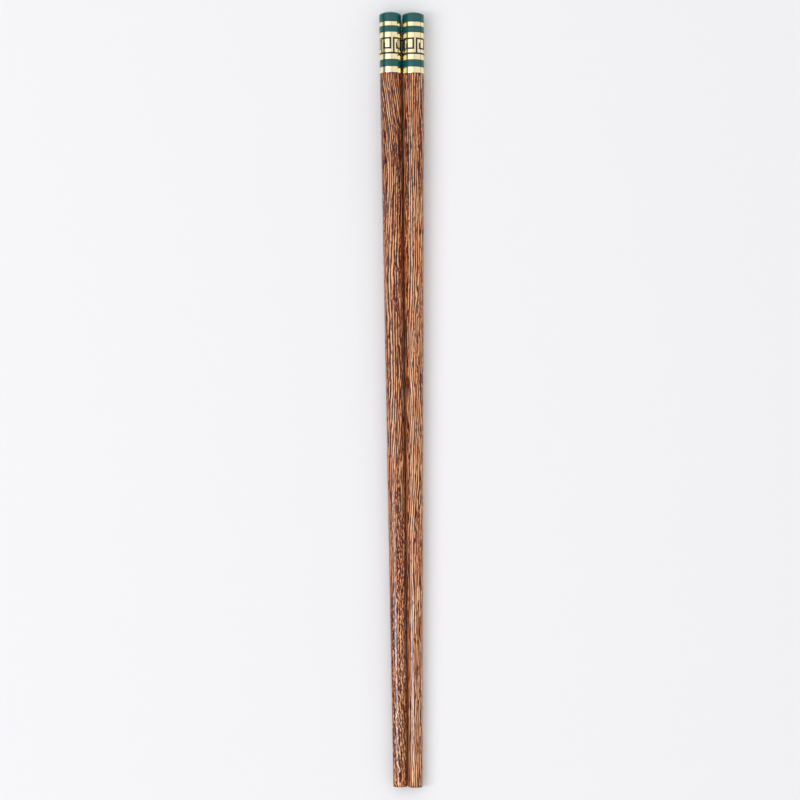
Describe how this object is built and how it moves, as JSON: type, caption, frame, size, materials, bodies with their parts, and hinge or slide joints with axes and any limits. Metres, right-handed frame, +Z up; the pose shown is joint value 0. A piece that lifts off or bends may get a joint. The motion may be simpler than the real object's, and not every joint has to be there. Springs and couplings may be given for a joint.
{
  "type": "pair of wooden chopsticks",
  "caption": "Long round tapered chopsticks of dark figured wood with gold metal caps, green enamel bands and a black key border, lying side by side.",
  "frame": {"origin": "on the table, under the middle of the pair's bounding box", "axes": "+Y along the pair from the tips towards the caps, +Z up from the table, +X across the pair to the right stick"},
  "size_m": [0.0146, 0.2502, 0.0072],
  "materials": {
    "wood": "satin lacquer over dark figured wood",
    "gold_metal": "polished",
    "green_enamel": "gloss",
    "black_print": "semi-matte ink"
  },
  "bodies": {
    "root": {"left_shank": "wood", "left_cap": "gold_metal", "left_enamel": "green_enamel", "left_key_border": "black_print", "right_shank": "wood", "right_cap": "gold_metal", "right_enamel": "green_enamel", "right_key_border": "black_print"}
  },
  "joints": []
}
